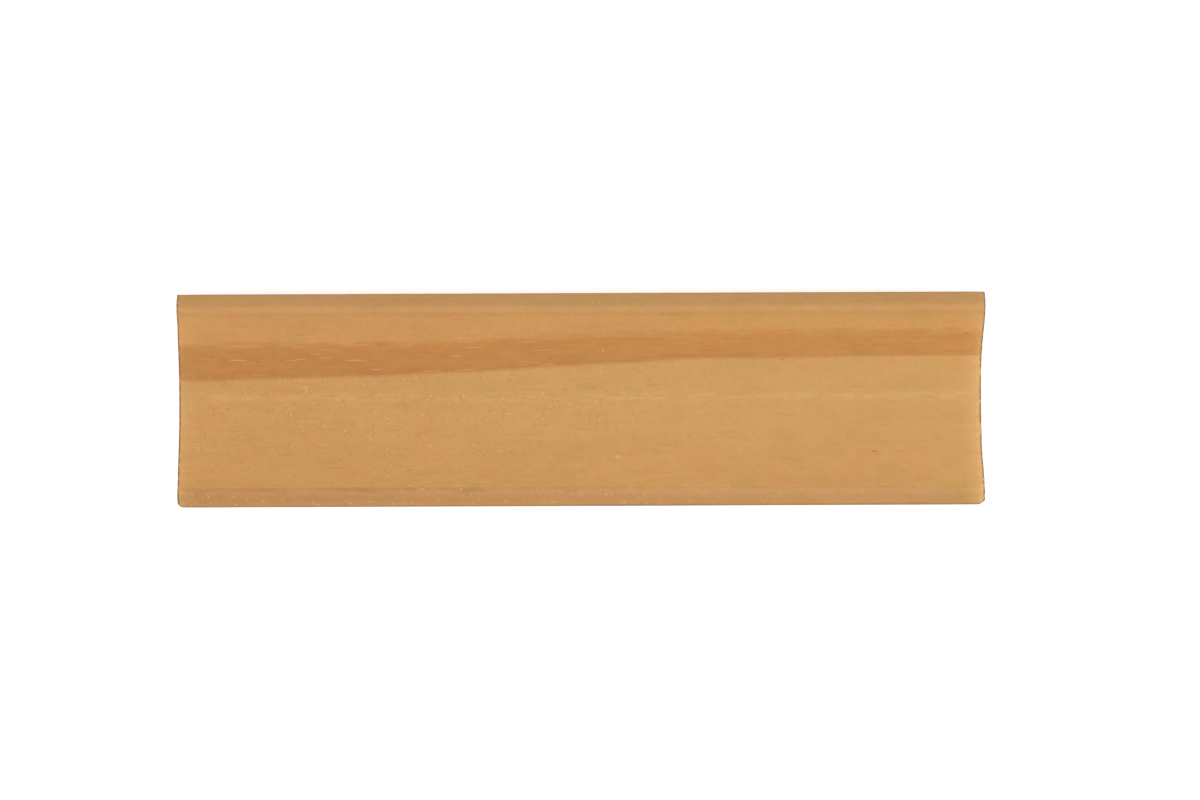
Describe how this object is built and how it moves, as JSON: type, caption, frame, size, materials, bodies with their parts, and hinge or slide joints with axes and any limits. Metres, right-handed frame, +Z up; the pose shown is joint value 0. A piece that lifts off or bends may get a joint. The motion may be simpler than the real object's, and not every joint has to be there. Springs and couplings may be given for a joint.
{
  "type": "corner moulding",
  "caption": "Short length of planed pine cove moulding with two square lips, a quarter-round hollow and bevelled back faces for an inside corner.",
  "frame": {"origin": "middle of the back flat, which lies on the ground", "axes": "+X along the grain and the length, +Z up out of the cove, +Y across the section"},
  "size_m": [0.157, 0.0414, 0.0167],
  "materials": {
    "pine": "planed, untreated"
  },
  "bodies": {
    "root": {"corner_moulding": "pine"}
  },
  "joints": []
}
